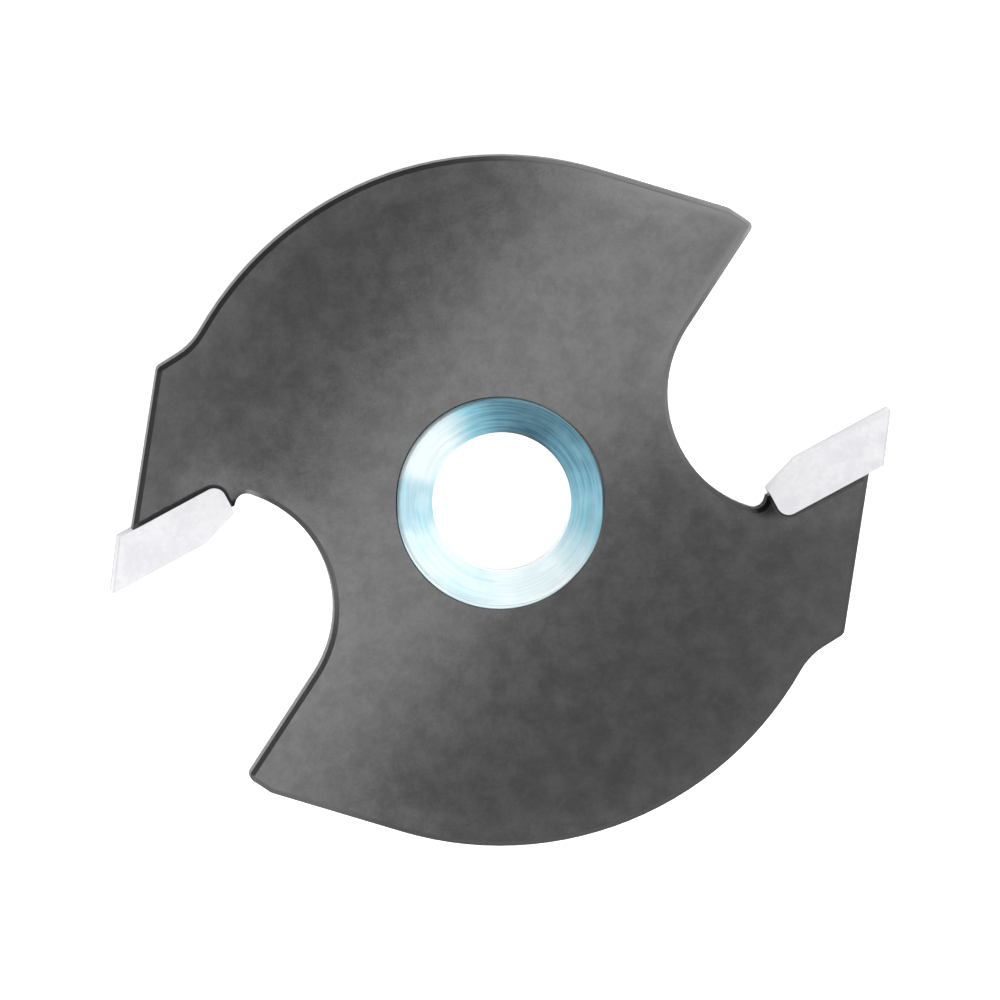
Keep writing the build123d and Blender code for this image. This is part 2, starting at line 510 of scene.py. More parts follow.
def bead_profile():
    """The loop as three arrays: share of the bead's width, share of its crest, and which face it belongs to.

    Width is 0 at the tip and 1 at the toe. The gap's far wall is marked with a share of -1."""
    u = np.linspace(0, 1, hollow_steps)
    hollow = (1 - u) ** 2
    wall = np.linspace(1, -1, wall_steps)
    near_wall = wall_steps - 2
    share = np.concatenate([u, np.full(wall_steps, -1.0), u[::-1], np.zeros(near_wall)])
    crest = np.concatenate([hollow, np.zeros(wall_steps), hollow[::-1], np.zeros(near_wall)])
    face = np.concatenate([np.ones(hollow_steps), wall, -np.ones(hollow_steps), -wall[1:-1]])
    return share, crest, face


def braze_bead(name, seed, half_turn):
    """The solder of one tip as a closed mesh: the seam's core, with a bead on each face of the plate."""
    run = np.linspace(0, seam_length, rings_along)
    share, crest, face = bead_profile()
    lengths = run / seam_length
    toe = bead_width * (1 + toe_share * slow_waves(lengths, toe_waves, seed))
    top = bead_height * (1 + crest_share * slow_waves(lengths, crest_waves, seed + 1))
    from_spur = np.clip((seam_length - run) / narrows_near_spur, 0, 1)
    inwards = np.clip((lengths - narrows_from) / narrows_over, 0, 1)
    toe = toe * (1 - spur_narrowing + spur_narrowing * from_spur) * (1 - inner_narrowing * inwards)

    width = np.where(share < 0, braze_gap, share * toe[:, None])
    reach, distance = seam_points(run[:, None] + 0 * width, width)
    to_edge = np.minimum(-past_shoulder(reach, distance), -past_flank(reach, distance))
    to_edge = np.minimum(to_edge, distance - spur_distance)
    broken = np.clip(plate_edge_break - to_edge, 0, plate_edge_break)
    half_height = plate_top - mid_height + crest * top[:, None] - broken
    z = mid_height + face * half_height

    turn = -1 if half_turn else 1
    x = turn * (reach * cos(hook_angle) + distance * sin(hook_angle))
    y = turn * (reach * sin(hook_angle) - distance * cos(hook_angle))
    points = np.stack([x, y, z], axis=-1).reshape(-1, 3)

    rows, columns = x.shape
    numbers = np.arange(rows * columns).reshape(rows, columns)
    here, ahead = numbers[:-1], numbers[1:]
    quads = np.stack([here, ahead, np.roll(ahead, -1, axis=1), np.roll(here, -1, axis=1)], axis=-1)
    ends = [numbers[0].tolist(), numbers[-1][::-1].tolist()]
    mesh = bpy.data.meshes.new(name)
    mesh.from_pydata(points.tolist(), [], quads.reshape(-1, 4).tolist() + ends)
    mesh.polygons.foreach_set("use_smooth", [True] * len(mesh.polygons))
    mesh.set_sharp_from_angle(angle=smooth_up_to)
    mesh.validate()

    bead = bpy.data.objects.new(name, mesh)
    bpy.context.scene.collection.objects.link(bead)
    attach(bead, "root")
    return bead


def enclosed_volume(mesh):
    """Volume inside a closed mesh, which is above 0 if its faces point outwards.

    It is the sum over the triangles of corner 1 dot (corner 2 cross corner 3), over 6."""
    mesh.calc_loop_triangles()
    corners = np.empty(len(mesh.loop_triangles) * 3, dtype=np.int32)
    mesh.loop_triangles.foreach_get("vertices", corners)
    places = np.empty(len(mesh.vertices) * 3)
    mesh.vertices.foreach_get("co", places)
    first, second, third = places.reshape(-1, 3)[corners.reshape(-1, 3)].transpose(1, 0, 2)
    return (first * np.cross(second, third)).sum() / 6


beads = [
    braze_bead("braze_bead_1", seed=11, half_turn=False),
    braze_bead("braze_bead_2", seed=47, half_turn=True),
]
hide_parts("braze_seam_1")
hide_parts("braze_seam_2")
for bead in beads:
    print(bead.name, f"{enclosed_volume(bead.data) / mm**3:.2f} mm3,", len(bead.data.polygons), "faces")

# %% [markdown]
# ## Effects that several finishes share
#
# No ground or blackened surface has one even tone. Two kinds of unevenness show on every piece here. One
# is mottling: soft blotches a millimetre across, with a fine grain over them. The other is drawn lines,
# which a grinding wheel or a lathe tool leaves in one direction. Each is built once, as a node group with
# its sizes as inputs, and each material places it with its own values.
#
# Drawn lines are noise that is squeezed across them and stretched along them. Across, one step of the
# noise is the lines' spacing. Along, it is many times that, so the lines run on.

# %% Build the shared effects
blotch_share, grain_share = 0.65, 0.35
lines_run_on = 14.0
dielectric_shine = 0.15


def new_group(name, inputs, outputs):
    """A shader node group with named sockets, as its tree and the sockets of its inputs."""
    tree = bpy.data.node_groups.new(name, "ShaderNodeTree")
    for socket, kind in inputs:
        tree.interface.new_socket(socket, in_out="INPUT", socket_type=kind)
    for socket, kind in outputs:
        tree.interface.new_socket(socket, in_out="OUTPUT", socket_type=kind)
    return tree, tree.nodes.new("NodeGroupInput").outputs


def noise_of_size(tree, vector, size, detail):
    """Noise from 0 to 1, whose blotch size comes from a socket."""
    scale = work_out(tree, "DIVIDE", 1.0, size)
    inputs = {"Vector": vector, "Scale": scale, "Detail": detail}
    return place(tree, "ShaderNodeTexNoise", inputs).outputs["Fac"]


metal_mottle, given = new_group(
    "metal_mottle",
    [("Vector", "NodeSocketVector"), ("Blotch", "NodeSocketFloat"), ("Grain", "NodeSocketFloat")],
    [("Tone", "NodeSocketFloat"), ("Grain", "NodeSocketFloat")],
)
blotches = noise_of_size(metal_mottle, given["Vector"], given["Blotch"], detail=3.0)
grains = noise_of_size(metal_mottle, given["Vector"], given["Grain"], detail=2.0)
fine_part = work_out(metal_mottle, "MULTIPLY", grains, grain_share)
tone = work_out(metal_mottle, "MULTIPLY_ADD", blotches, blotch_share, fine_part)
place(metal_mottle, "NodeGroupOutput", {"Tone": tone, "Grain": grains})

drawn_lines, given = new_group(
    "drawn_lines",
    [("Across", "NodeSocketFloat"), ("Along", "NodeSocketVector"), ("Spacing", "NodeSocketFloat")],
    [("Lines", "NodeSocketFloat")],
)
across = work_out(drawn_lines, "DIVIDE", given["Across"], given["Spacing"])
across = place(drawn_lines, "ShaderNodeCombineXYZ", {"X": across}).outputs[0]
slowness = work_out(drawn_lines, "DIVIDE", 1 / lines_run_on, given["Spacing"])
slow = scaled(drawn_lines, given["Along"], slowness)
noise_inputs = {"Vector": vector_sum(drawn_lines, "ADD", across, slow), "Scale": 1.0, "Detail": 2.0}
lines = place(drawn_lines, "ShaderNodeTexNoise", noise_inputs).outputs["Fac"]
place(drawn_lines, "NodeGroupOutput", {"Lines": lines})


def mottle(tree, vector, blotch, grain):
    """Place the shared mottling in a material, with its sizes in metres, as its tone and its grain."""
    inputs = {"Vector": vector, "Blotch": blotch, "Grain": grain}
    node = place(tree, "ShaderNodeGroup", inputs, node_tree=metal_mottle)
    return node.outputs["Tone"], node.outputs["Grain"]


def draw_lines(tree, across, along_them, spacing):
    """Place the shared drawn lines in a material, with their spacing in metres."""
    inputs = {"Across": across, "Along": along_them, "Spacing": spacing}
    return place(tree, "ShaderNodeGroup", inputs, node_tree=drawn_lines).outputs["Lines"]


print("groups:", [group.name for group in bpy.data.node_groups])

# %% [markdown]
# ## Where a point is
#
# Wear, painted light and painted shade have places: a worn and highlighted nose, a shaded corner, a
# highlighted edge. So each finish first works out where a point of its piece is: its x, y and z, how far it
# is from the bore's axis, and how level the surface is there. Level is 1 on a face, 0 on a wall, and
# between the two on a broken edge.
#
# A mask such as "near the left spur" is then a fade between two distances from the place: the one where
# it starts to show, and the one where it is full. For a straight edge the distance is measured inwards
# from the edge.
#
# The left wing is the right one after half a turn. Turning the sign of x and y on its side lays both
# wings on the same drawing, so a place that is alike on both can be given once.

# %% Helpers for places
Spot = namedtuple("Spot", "position x y z level radius levelness")


def where_on_piece(tree):
    """A point's position, its x, y and z, its place without z, its radius, and how level the surface is."""
    coordinates = place(tree, "ShaderNodeTexCoord").outputs
    position = coordinates["Object"]
    x, y, z = place(tree, "ShaderNodeSeparateXYZ", {0: position}).outputs
    level = vector_sum(tree, "MULTIPLY", position, (1.0, 1.0, 0.0))
    radius = measure(tree, "LENGTH", level)
    upright = place(tree, "ShaderNodeSeparateXYZ", {0: coordinates["Normal"]}).outputs[2]
    return Spot(position, x, y, z, level, radius, work_out(tree, "ABSOLUTE", upright))


def on_one_wing(tree, at):
    """The level position with the left wing laid on the right one: x and y times the sign of x."""
    return scaled(tree, at.level, work_out(tree, "SIGN", at.x))


def far_from(tree, point, place_at):
    """How far a point lies from a fixed place."""
    return measure(tree, "DISTANCE", point, place_at)


def inside_edge(tree, point, angle, reach):
    """How far a point lies inside a straight edge, given its direction outwards and its distance."""
    outwards = (cos(radians(angle)), sin(radians(angle)), 0.0)
    return work_out(tree, "SUBTRACT", reach, along(tree, point, outwards))


print("a spot has:", Spot._fields)

# %% [markdown]
# ## The body: landmarks
#
# The body has three kinds of surface, told apart by how level they are: faces, broken edges and cut
# walls. The right nose, the spurs and the gullets are the places where it has worn, and where painted
# light and painted shade are laid on it.

# %% Find the body's landmarks
right_nose = Vector((18.0 * mm, 12.6 * mm, 0.0))
right_spur = Vector((15.5 * mm, -3.4 * mm, 0.0))
side_patch_place = Vector((-16.65 * mm, 5.72 * mm, 0.0))
gullet_centre = Vector((18.05 * mm, 2.31 * mm, 0.0))
gullet_radius = 7.15 * mm
# The straight edges of the right wing: each edge's direction outwards, in degrees, and its distance.
back_angle, back_reach = 60.0, 20.55 * mm
bevel_angle, bevel_reach = 43.4, 22.0 * mm
gullet_edge_angle, gullet_edge_reach = -46.4, 3.64 * mm

steel, tree = new_material("blackened_and_turned_steel")
at = where_on_piece(tree)
on_face = fade(tree, at.levelness, 0.90, 0.97)
on_wall = fade(tree, at.levelness, 0.35, 0.20)
on_slope = opposite(tree, work_out(tree, "ADD", on_face, on_wall))
right_wing = on_one_wing(tree, at)

from_right_nose = far_from(tree, at.level, right_nose)
from_left_nose = far_from(tree, at.level, -right_nose)
from_right_spur = far_from(tree, at.level, right_spur)
from_left_spur = far_from(tree, at.level, -right_spur)
from_gullet_centre = far_from(tree, right_wing, gullet_centre)
from_back = inside_edge(tree, at.level, back_angle, back_reach)
from_bevel = inside_edge(tree, at.level, bevel_angle, bevel_reach)
from_outer_edges = work_out(tree, "MINIMUM", from_back, from_bevel)
from_gullet_edge = inside_edge(tree, at.level, gullet_edge_angle, gullet_edge_reach)
from_right_rim = work_out(tree, "MINIMUM", from_outer_edges, from_gullet_edge)
from_left_back = inside_edge(tree, at.level, back_angle - 180, back_reach)
print("landmarks:", len(tree.nodes), "nodes")

# %% [markdown]
# ## The body: blackened faces and cut walls
#
# The body was blackened all over, which leaves a dark satin face with a soft mottle. Near the outline
# between the wings, round the gullets, most by the left spur, and beside the left tip, the face is painted
# paler: painted light, where the plate looks more brightly lit. The face's colour is multiplied by a
# number a little over 1 there.
#
# The walls are as the cutter left them: paler, with fine upright lines.

# %% Blacken the faces
thick_black, thin_black = grey(0.069), grey(0.093)
# How much paler each patch of painted light makes the face.
circle_light = 0.20
left_gullet_light, right_gullet_light = 0.09, 0.20
left_spur_light = 0.16
side_patch_light = 0.30
soft_share, fine_share = 0.65, 0.35
wall_line_spacing = 0.09 * mm
darker_wall, paler_wall, blackened_wall = grey(0.23), grey(0.30), grey(0.22)
wall_black_share = 0.4

tone, grain = mottle(tree, at.position, blotch=1.3 * mm, grain=0.16 * mm)
fine_tone, _ = mottle(tree, at.position, blotch=0.45 * mm, grain=0.09 * mm)
soft_part = work_out(tree, "MULTIPLY", tone, soft_share)
black_tone = work_out(tree, "MULTIPLY_ADD", fine_tone, fine_share, soft_part)
black_tone = fade(tree, black_tone, 0.36, 0.64)
black_face = blend(tree, black_tone, thick_black, thin_black)

# Painted light: the face is painted paler near the outline between the wings, round the gullets, by the left
# spur and beside the left tip.
between_wings = fade(tree, work_out(tree, "ABSOLUTE", at.y), 11.5 * mm, 15.0 * mm)
between_wings = both(tree, between_wings, fade(tree, from_left_nose, 4.5 * mm, 8.0 * mm))
by_circle = both(tree, fade(tree, at.radius, 18.4 * mm, 19.8 * mm), between_wings)
by_gullet = fade(tree, from_gullet_centre, gullet_radius + 1.9 * mm, gullet_radius + 0.5 * mm)
by_left_spur = both(tree, by_gullet, fade(tree, from_left_spur, 5.0 * mm, 2.0 * mm))
by_side_patch = fade(tree, far_from(tree, at.level, side_patch_place), 2.3 * mm, 0.6 * mm)
gullet_light = fade(tree, at.x, -1 * mm, 1 * mm, left_gullet_light, right_gullet_light)
paler_face_light = work_out(tree, "MULTIPLY", by_circle, circle_light)
paler_face_light = either(tree, paler_face_light, both(tree, by_gullet, gullet_light))
paler_face_light = work_out(tree, "MULTIPLY_ADD", by_left_spur, left_spur_light, paler_face_light)
paler_face_light = work_out(tree, "MULTIPLY_ADD", by_side_patch, side_patch_light, paler_face_light)
black_face = scaled(tree, black_face, work_out(tree, "ADD", paler_face_light, 1.0))

upwards = vector_sum(tree, "MULTIPLY", at.position, (0.0, 0.0, 1.0))
wall_lines = draw_lines(tree, work_out(tree, "ADD", at.x, at.y), upwards, wall_line_spacing)
cut_wall = blend(tree, fade(tree, wall_lines, 0.3, 0.7), darker_wall, paler_wall)
some_black = work_out(tree, "MULTIPLY", black_tone, wall_black_share)
cut_wall = blend(tree, some_black, cut_wall, blackened_wall)
body_colour = blend(tree, on_wall, black_face, cut_wall)
print("faces and walls:", len(tree.nodes), "nodes")

# %% [markdown]
# ## The body: worn edges, painted highlights and painted shade
#
# The broken edges catch the light at their own angle, so they draw the outline, and each stretch has its
# own history. Most are black, and paler at the back of the left nose. Along the gullets the slopes are
# painted paler, as painted highlights of the band light on rounded edges, except near the spurs, though
# the very foot of the left spur is painted bright too. At the right nose the black is worn through to grey
# steel, which fades out over some 20 mm of the outline; that paleness is partly wear and partly a painted
# highlight. The rim of the face next to it is painted paler, a painted highlight, and a darker line of
# painted shade lies at the inner side of the slope, where it meets the face. The foot of each spur is
# painted nearly black: painted shade in the corner between the tip and the gullet.

# %% Wear the edges, and paint their highlights and shade
black_slope, left_nose_slope = grey(0.064), grey(0.105)
# Colours of painted highlights on the slopes.
gullet_edge_highlight, nose_side_highlight, spur_foot_highlight = grey(0.115), grey(0.155), grey(0.20)
rim_highlight_colour = grey(0.112)
worn_steel_and_sheen, inner_shade_line_colour = grey(0.29), grey(0.20)
back_wear_and_sheen_amount, nose_wear_and_sheen_amount, inside_wear_and_sheen_amount = 0.68, 0.32, 0.35
shade_line_full, shade_line_gone = 0.07 * mm, 0.13 * mm
# Colour of the painted shade at the foot of each spur.
spur_corner_shade = grey(0.022)

left_nose = fade(tree, from_left_nose, 9.0 * mm, 4.0 * mm)
left_nose = both(tree, left_nose, fade(tree, from_left_back, 0.9 * mm, 0.5 * mm))
slope_colour = blend(tree, left_nose, black_slope, left_nose_slope)
body_colour = blend(tree, on_slope, body_colour, slope_colour)

# Painted highlights: the slopes along the gullets and the very foot of the left spur are painted paler.
off_gullet_edge = inside_edge(tree, right_wing, gullet_edge_angle, gullet_edge_reach)
by_gullet_edge = fade(tree, work_out(tree, "ABSOLUTE", off_gullet_edge), 0.6 * mm, 0.4 * mm)
near_rim_or_gullet_edge = either(tree, fade(tree, at.radius, 20.2 * mm, 18.5 * mm), by_gullet_edge)
left_spur_foot = fade(tree, from_left_spur, 2.2 * mm, 1.2 * mm)
clear_of_left_spur = either(tree, fade(tree, from_left_spur, 3.5 * mm, 8 * mm), left_spur_foot)
clear_of_right_spur = fade(tree, from_right_spur, 3.0 * mm, 7.5 * mm)
clear_of_spurs = work_out(tree, "MINIMUM", clear_of_left_spur, clear_of_right_spur)
highlighted_slope = both(tree, both(tree, near_rim_or_gullet_edge, clear_of_spurs), on_slope)
slope_highlight = fade(tree, from_right_nose, 13.5 * mm, 9.0 * mm)
slope_highlight = blend(tree, slope_highlight, gullet_edge_highlight, nose_side_highlight)
slope_highlight = blend(tree, left_spur_foot, slope_highlight, spur_foot_highlight)
body_colour = blend(tree, highlighted_slope, body_colour, slope_highlight)

# Painted highlight: the rim of the face by the right nose is painted paler.
near_right_nose = fade(tree, from_right_nose, 15.5 * mm, 3 * mm)
rim_highlight = both(tree, fade(tree, from_right_rim, 0.85 * mm, 0.30 * mm), near_right_nose)
body_colour = blend(tree, both(tree, rim_highlight, on_face), body_colour, rim_highlight_colour)

# The grey of the slopes by the right nose is partly wear and partly a painted highlight.
back_wear_and_sheen = fade(tree, from_right_nose, 20.5 * mm, 9.0 * mm, 0.0, back_wear_and_sheen_amount)
nose_wear_and_sheen = fade(tree, from_right_nose, 5 * mm, 1.5 * mm, 0.0, nose_wear_and_sheen_amount)
most_at_outer_edges = fade(tree, from_outer_edges, 1.6 * mm, 0.4 * mm, inside_wear_and_sheen_amount, 1.0)
worn_and_sheen_slope = both(tree, work_out(tree, "ADD", back_wear_and_sheen, nose_wear_and_sheen), most_at_outer_edges)
worn_and_sheen_slope = both(tree, worn_and_sheen_slope, on_slope)
slope_top = plate_top - mid_height
from_middle = work_out(tree, "ABSOLUTE", work_out(tree, "SUBTRACT", at.z, mid_height))
# Painted shade: a darker line at the slope's inner side, where it meets the face.
inner_shade_line = fade(tree, from_middle, slope_top - shade_line_gone, slope_top - shade_line_full)
wear_and_sheen_colour = blend(tree, inner_shade_line, worn_steel_and_sheen, inner_shade_line_colour)
body_colour = blend(tree, worn_and_sheen_slope, body_colour, wear_and_sheen_colour)

# Painted shade: the foot of each spur, in the corner between the tip and the gullet, is painted nearly
# black.
right_spur_shade = fade(tree, from_right_spur, 1.6 * mm, 0.7 * mm)
left_spur_shade = fade(tree, from_left_spur, 0.5 * mm, 0.2 * mm)
body_colour = blend(tree, either(tree, right_spur_shade, left_spur_shade), body_colour, spur_corner_shade)
print("worn edges:", len(tree.nodes), "nodes")

# %% [markdown]
# ## The hub: turned rings
#
# The hub was turned after blackening, to bring both its faces true, so it is bare metal. It took two
# light cuts whose centres were a little off the bore's, so the ring of bare metal is slightly off centre
# too. The lathe tool leaves a spiral that looks like rings. They are drawn lines across the radius, with
# the even waves of the tool's feed on top, and finer lines between them. Their centre is a little off the
# bore's as well, so that they run out at the edge, as on the real ring.

# %% Turn the hub
bare_radius = 6.125 * mm
first_cut_centre = picture_direction(250) * 0.30 * mm
second_cut_centre = picture_direction(150) * 0.12 * mm
ring_centre = (0.06 * mm, -0.04 * mm, 0.0)
ring_pitch = 0.34 * mm
feed, feed_mark_share = 0.42 * mm, 0.085

first_cut = far_from(tree, at.level, first_cut_centre)
second_cut = far_from(tree, at.level, second_cut_centre)
from_cuts = work_out(tree, "MINIMUM", first_cut, second_cut)
on_bare = fade(tree, from_cuts, bare_radius + 0.05 * mm, bare_radius - 0.03 * mm)

from_ring_centre = vector_sum(tree, "SUBTRACT", at.level, ring_centre)
ring_radius = measure(tree, "LENGTH", from_ring_centre)
around = vector_sum(tree, "NORMALIZE", from_ring_centre)
feed_marks = work_out(tree, "SINE", work_out(tree, "MULTIPLY", ring_radius, 2 * pi / feed))
rings = draw_lines(tree, ring_radius, from_ring_centre, ring_pitch)
rings = work_out(tree, "MULTIPLY_ADD", feed_marks, feed_mark_share, rings)
fine_rings = draw_lines(tree, ring_radius, from_ring_centre, ring_pitch / 4)
print(f"rings {ring_pitch / mm:.2f} mm apart, {len(tree.nodes)} nodes")

# %% [markdown]
# ## The hub: a film left by heat, with painted shade and light
#
# Heat has left a blue-green film on the bare metal. Its darkness across the hub is painted shade and
# light: dark blue towards the upper right of the picture, as painted shade, and nearly silver at the lower
# left, as painted light, with patches. One number stands for the film and the painted shade together,
# and a ramp turns the number into a colour: silver, then blue-green, then dark blue. Each ring changes the
# number a little, and the grooves between the rings are painted darker where the number is high: painted
# shade in the grooves. Close to the bore two spots are a dark straw brown, the colour that comes before
# blue when steel is heated.
#
# The chamfers follow the same number, with the same painted shade and light, in paler colours. The bore was
# finished last and is bright.

# %% Colour the hub, with painted shade and light
shade_and_film_towards = 57
least_film_and_shade = 0.15
film_and_shade_patches = [
    # Direction in the picture and half width, both in degrees, and what it adds at its middle.
    (132, 40, -0.20),
    (95, 34, 0.05),
    (25, 45, -0.16),
    (338, 32, 0.14),
    (295, 45, -0.15),
    (182, 22, 0.16),
]
ring_film_share = 0.09
cloud_size, cloud_film_share = 1.5 * mm, 0.05
film_and_shade_stops = [(0.56, 0.63, 0.64, 1.0), (0.18, 0.38, 0.45, 1.0), (0.052, 0.110, 0.140, 1.0)]
groove_shade_tint = (0.32, 0.38, 0.50)
chamfer_painted_light, blued_chamfer_and_shade = (0.70, 0.78, 0.80, 1.0), (0.20, 0.36, 0.42, 1.0)
dark_straw, straw_share = (0.055, 0.042, 0.04, 1.0), 0.7
upper_straw_width, left_straw_width = 0.45 * mm, 0.2 * mm
bright_bore = grey(0.95)


def patch_towards(angle, half_width):
    """A patch from 0 to 1 about one direction in the picture, out to half its width in degrees."""
    return fade(tree, along(tree, around, picture_direction(angle)), cos(radians(half_width)), 1.0)


# Painted shade and light: the number rises towards the upper right of the picture, where the hub is painted
# dark, and falls towards the lower left, where it is painted pale.
film_and_shade = either(tree, along(tree, around, picture_direction(shade_and_film_towards)), least_film_and_shade)
for angle, half_width, share in film_and_shade_patches:
    film_and_shade = work_out(tree, "MULTIPLY_ADD", patch_towards(angle, half_width), share, film_and_shade)
by_ring = fade(tree, rings, 0.35, 0.65, -1.0, 1.0)
film_and_shade = work_out(tree, "MULTIPLY_ADD", by_ring, ring_film_share, film_and_shade)
cloudy = fade(tree, clouds(tree, at.position, cloud_size), 0.3, 0.7, -1.0, 1.0)
film_and_shade = work_out(tree, "MULTIPLY_ADD", cloudy, cloud_film_share, film_and_shade)
film_and_shade_colours = place(tree, "ShaderNodeValToRGB", {"Fac": film_and_shade})
ramp = film_and_shade_colours.color_ramp.elements
ramp.new(0.5)
for stop, colour in zip(ramp, film_and_shade_stops):
    stop.color = colour
film_and_shade_colour = film_and_shade_colours.outputs["Color"]

# Painted shade in the grooves between the rings, darker where the number is high.
groove_shade = both(tree, fade(tree, rings, 0.50, 0.40), fade(tree, film_and_shade, 0.0, 0.9, 0.15, 0.75))
groove_shade_colour = vector_sum(tree, "MULTIPLY", film_and_shade_colour, groove_shade_tint)
bare_colour = blend(tree, groove_shade, film_and_shade_colour, groove_shade_colour)
off_face = both(tree, opposite(tree, on_face), on_bare)
# The chamfers carry the same painted shade and light, in paler colours.
chamfer_colour = blend(tree, fade(tree, film_and_shade, -0.1, 0.6), chamfer_painted_light, blued_chamfer_and_shade)
bare_colour = blend(tree, off_face, bare_colour, chamfer_colour)
upper_straw = fade(tree, at.radius, bore_radius + upper_straw_width, bore_radius)
upper_straw = both(tree, upper_straw, patch_towards(64, 26))
left_straw = fade(tree, at.radius, bore_radius + left_straw_width, bore_radius)
left_straw = both(tree, left_straw, patch_towards(178, 20))
straw = work_out(tree, "MULTIPLY", either(tree, upper_straw, left_straw), straw_share)
bare_colour = blend(tree, straw, bare_colour, dark_straw)
in_bore = fade(tree, at.radius, bore_radius + 0.15 * mm, bore_radius + 0.09 * mm)
bare_colour = blend(tree, in_bore, bare_colour, bright_bore)
print("film:", len(film_and_shade_patches), "patches,", len(tree.nodes), "nodes")

# %% [markdown]
# ## The body: relief and shine
#
# Each ring of the hub is a long flank that falls outwards and a short one that climbs back. So all round
# the hub the metal leans outwards, and each part of it reflects its own side of the room. The relief has
# that lean as a steady fall with the radius, and the rings on top. The black has only its grain, and the
# walls their lines.
#
# The black is a very thin oxide that still reflects as metal does, in its own dark colour. So the faces
# are metallic, black or bare. The walls, the chamfers and the worn slopes are rough and only partly
# clean, and scatter light more as paint does, so they are mostly not metallic. The wall of the bore is
# all metal again.

# %% Finish the body
relief_depth = 0.030 * mm
outward_lean = radians(2.5)
grain_height, wall_line_height = 0.08, 0.15
ring_height, fine_ring_height = 0.35, 0.06
smooth_black, rough_black = 0.22, 0.28
bare_roughness, wall_roughness, bore_roughness = 0.40, 0.7, 0.2
wall_dullness, chamfer_dullness, worn_and_sheen_dullness = 0.85, 0.9, 0.7

black_relief = work_out(tree, "MULTIPLY", grain, grain_height)
lines_on_wall = both(tree, wall_lines, on_wall)
black_relief = work_out(tree, "MULTIPLY_ADD", lines_on_wall, wall_line_height, black_relief)
fall_outwards = work_out(tree, "MULTIPLY", at.radius, -tan(outward_lean) / relief_depth)
hub_relief = work_out(tree, "MULTIPLY_ADD", rings, ring_height, fall_outwards)
hub_relief = work_out(tree, "MULTIPLY_ADD", fine_rings, fine_ring_height, hub_relief)
relief = mix(tree, on_bare, black_relief, both(tree, hub_relief, on_face))

roughness = fade(tree, tone, 0.2, 0.8, smooth_black, rough_black)
roughness = mix(tree, on_bare, roughness, bare_roughness)
roughness = mix(tree, on_wall, roughness, wall_roughness)
roughness = mix(tree, in_bore, roughness, bore_roughness)

dull_wall = work_out(tree, "MULTIPLY", on_wall, wall_dullness)
dull_chamfer = work_out(tree, "MULTIPLY", off_face, chamfer_dullness)
dull_worn_and_sheen = work_out(tree, "MULTIPLY", worn_and_sheen_slope, worn_and_sheen_dullness)
dull = either(tree, either(tree, dull_wall, dull_chamfer), dull_worn_and_sheen)
dull = both(tree, dull, opposite(tree, both(tree, in_bore, on_wall)))

finish_surface(
    tree,
    {
        "Base Color": blend(tree, on_bare, body_colour, bare_colour),
        "Metallic": opposite(tree, dull),
        "Roughness": roughness,
        "Specular IOR Level": dielectric_shine,
    },
    relief=relief,
    depth=relief_depth,
)
frame["nodes"]["cutter_body"].data.materials[0] = steel
print(steel.name, len(tree.nodes), "nodes")

# %% [markdown]
# ## The carbide tips
#
# Carbide is a fine, hard, pale grey metal with a trace of violet, too fine-grained to show any crystals.
# All its faces are ground. The side faces carry the faint soft lines of the wheel. Narrow lands along the
# rake face and the clearance face were honed afterwards, so they reflect a little less. Near the lower
# face the walls are painted greyer: painted shade, where the tip meets the card.
#
# Each land is found as the tip was ground. The rake face is a plane at the hook angle through the cutting
# corner, and the clearance face is a plane through the same corner at the relief angle. Both tips share
# one material, since the second is laid on the first by the same half turn as the wings.

# %% Finish the tips
darker_carbide, paler_carbide = (0.605, 0.605, 0.63, 1.0), (0.695, 0.695, 0.715, 1.0)
wheel_line_colour = (0.64, 0.64, 0.66, 1.0)
wheel_line_spacing = 0.06 * mm
land_colour = (0.45, 0.45, 0.47, 1.0)
rake_land_share, clearance_land_share = 0.15, 0.45
darker_wall, paler_wall = (0.62, 0.62, 0.64, 1.0), (0.68, 0.68, 0.70, 1.0)
wall_shade_near_card = (0.42, 0.42, 0.44, 1.0)
shade_top, shade_bottom = 1.0 * mm, 0.3 * mm
tip_relief_depth = 0.002 * mm
wheel_line_height, tip_grain_height = 0.7, 0.3

carbide, tree = new_material("ground_carbide")
at = where_on_piece(tree)
right_wing = on_one_wing(tree, at)
reach = along(tree, right_wing, (cos(hook_angle), sin(hook_angle), 0.0))
distance = along(tree, right_wing, (sin(hook_angle), -cos(hook_angle), 0.0))
behind_rake = work_out(tree, "SUBTRACT", distance, cutting_radius * sin(hook_angle))
clearance_reach = cutting_radius * cos(relief_angle)
behind_clearance = inside_edge(tree, right_wing, -degrees(relief_angle), clearance_reach)

tone, grain = mottle(tree, at.position, blotch=1.1 * mm, grain=0.30 * mm)
along_tip = place(tree, "ShaderNodeCombineXYZ", {"X": reach}).outputs[0]
wheel_lines = draw_lines(tree, work_out(tree, "ADD", distance, at.z), along_tip, wheel_line_spacing)
face_colour = blend(tree, fade(tree, tone, 0.36, 0.64), darker_carbide, paler_carbide)
face_colour = blend(tree, fade(tree, wheel_lines, 0.35, 0.75, 0.0, 0.5), face_colour, wheel_line_colour)
rake_land = fade(tree, behind_rake, 0.15 * mm, 0.06 * mm, 0.0, rake_land_share)
clearance_land = fade(tree, behind_clearance, 0.15 * mm, 0.06 * mm, 0.0, clearance_land_share)
land = both(tree, either(tree, rake_land, clearance_land), fade(tree, at.levelness, 0.9, 0.97))
face_colour = blend(tree, land, face_colour, land_colour)

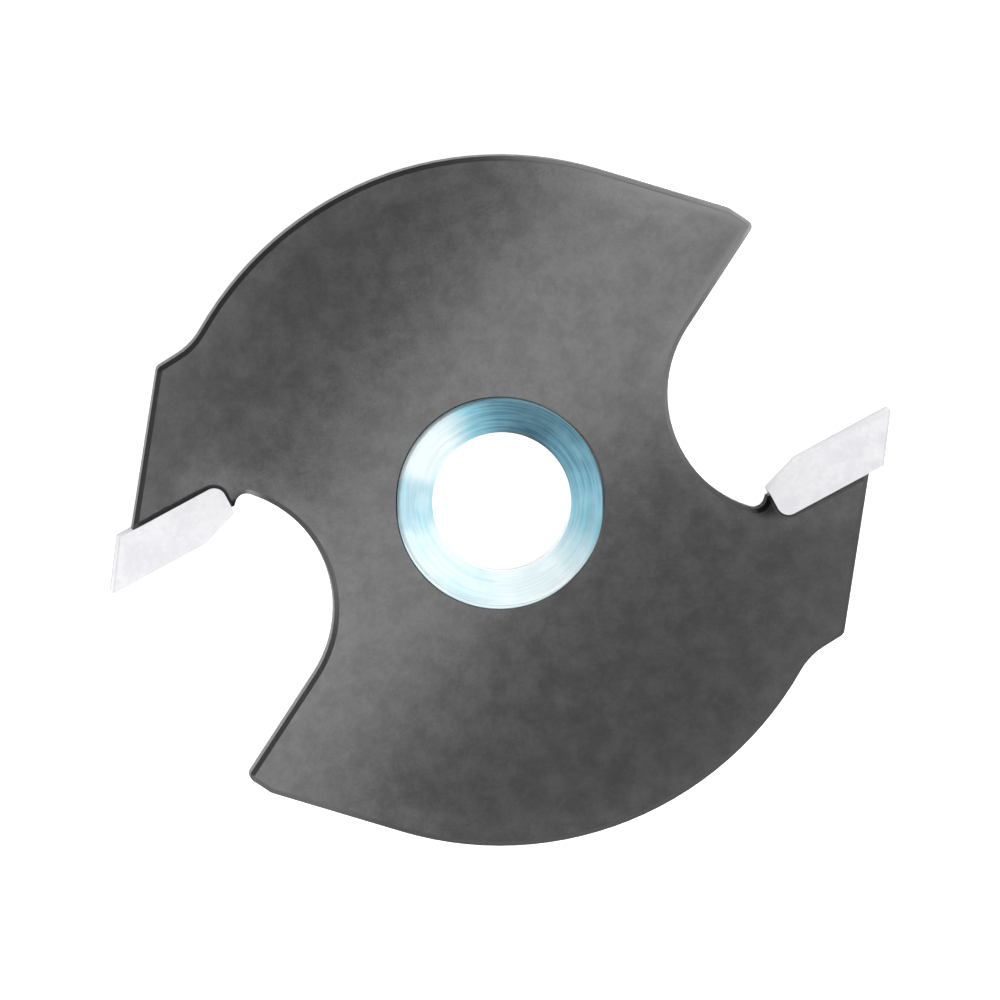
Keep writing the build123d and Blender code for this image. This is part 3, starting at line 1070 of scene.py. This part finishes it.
wall_colour = blend(tree, fade(tree, tone, 0.3, 0.7), darker_wall, paler_wall)
# Painted shade: the walls are painted greyer towards the lower face, next to the card.
wall_colour = blend(tree, fade(tree, at.z, shade_top, shade_bottom), wall_colour, wall_shade_near_card)
tip_colour = blend(tree, fade(tree, at.levelness, 0.5, 0.9), wall_colour, face_colour)
grain_relief = work_out(tree, "MULTIPLY", grain, tip_grain_height)
finish_surface(
    tree,
    {"Base Color": tip_colour, "Metallic": 1.0, "Roughness": fade(tree, tone, 0.3, 0.7, 0.36, 0.30)},
    relief=work_out(tree, "MULTIPLY_ADD", wheel_lines, wheel_line_height, grain_relief),
    depth=tip_relief_depth,
)
for number in (1, 2):
    frame["nodes"][f"carbide_tip_{number}"].data.materials[0] = carbide
print(carbide.name, len(tree.nodes), "nodes")

# %% [markdown]
# ## The solder
#
# Silver solder sets bright, but here it is painted nearly as dark as the plate: partly a stain of burnt
# flux, and partly painted shade along the tip's back. Here and there a little silver shows through. It is
# painted darkest by the spur: painted shade in the corner there. A stain that lets some metal show is
# neither a coating nor a metal, so its metallic value lies between the two.

# %% Finish the beads
dark_solder_and_shade, pale_solder_and_shade = grey(0.048, 0.01), grey(0.064, 0.02)
solder_spur_shade = grey(0.020, 0.05)
solder_metallic = 0.45
solder_relief_depth = 0.012 * mm

solder, tree = new_material("stained_and_shaded_solder")
at = where_on_piece(tree)
tone, _ = mottle(tree, at.position, blotch=0.35 * mm, grain=0.05 * mm)
# The solder's dark colour is partly painted shade along the tip's back, and it is painted darkest, as
# painted shade, by the spur.
near_spur = fade(tree, at.radius, 17.2 * mm, 15.9 * mm)
solder_stain_and_shade = blend(tree, fade(tree, tone, 0.35, 0.7), dark_solder_and_shade, pale_solder_and_shade)
finish_surface(
    tree,
    {
        "Base Color": blend(tree, near_spur, solder_stain_and_shade, solder_spur_shade),
        "Metallic": solder_metallic,
        "Roughness": fade(tree, tone, 0.3, 0.7, 0.50, 0.38),
        "Specular IOR Level": dielectric_shine,
    },
    relief=tone,
    depth=solder_relief_depth,
)
for bead in beads:
    bead.data.materials.append(solder)
print(solder.name, len(tree.nodes), "nodes")

# %% [markdown]
# ## The dressed cutter's box
#
# The dressed cutter's box is compared with the CAD model's, and the largest difference between their corners
# is printed. The dressed cutter has to stay as large as the CAD model.

# %% Compare the boxes
dressed_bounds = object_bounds()
grown = max(abs(a - b) for cad, new in zip(cad_bounds, dressed_bounds) for a, b in zip(cad, new))
print(f"the dressed cutter's box differs from the CAD box by {grown / mm:.4f} mm at most")
